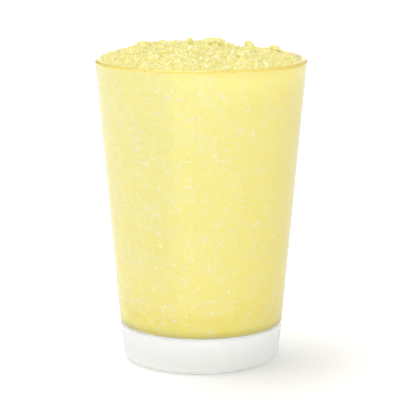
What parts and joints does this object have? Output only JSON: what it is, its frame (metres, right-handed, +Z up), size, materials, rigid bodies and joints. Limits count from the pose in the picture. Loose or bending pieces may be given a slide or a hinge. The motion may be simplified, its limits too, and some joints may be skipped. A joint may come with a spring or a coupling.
{
  "type": "frozen slush drink",
  "caption": "Pale yellow frozen slush heaped above the rim of a frosted conical tumbler with a thick clear base.",
  "frame": {"origin": "on the glass's axis, at the surface that it stands on", "axes": "+Z up along the glass's axis; -Y is the side that faces the camera in the picture, +X is to its right"},
  "size_m": [0.0898, 0.0898, 0.1382],
  "materials": {
    "glass": "pressed glass, satin with fine frost outside, clear thick base, fire-polished rim",
    "slush": "translucent crushed ice in pale lemon syrup, wet and sparkling where it stands proud"
  },
  "bodies": {
    "root": {"glass": "glass", "slush": "slush"}
  },
  "joints": []
}
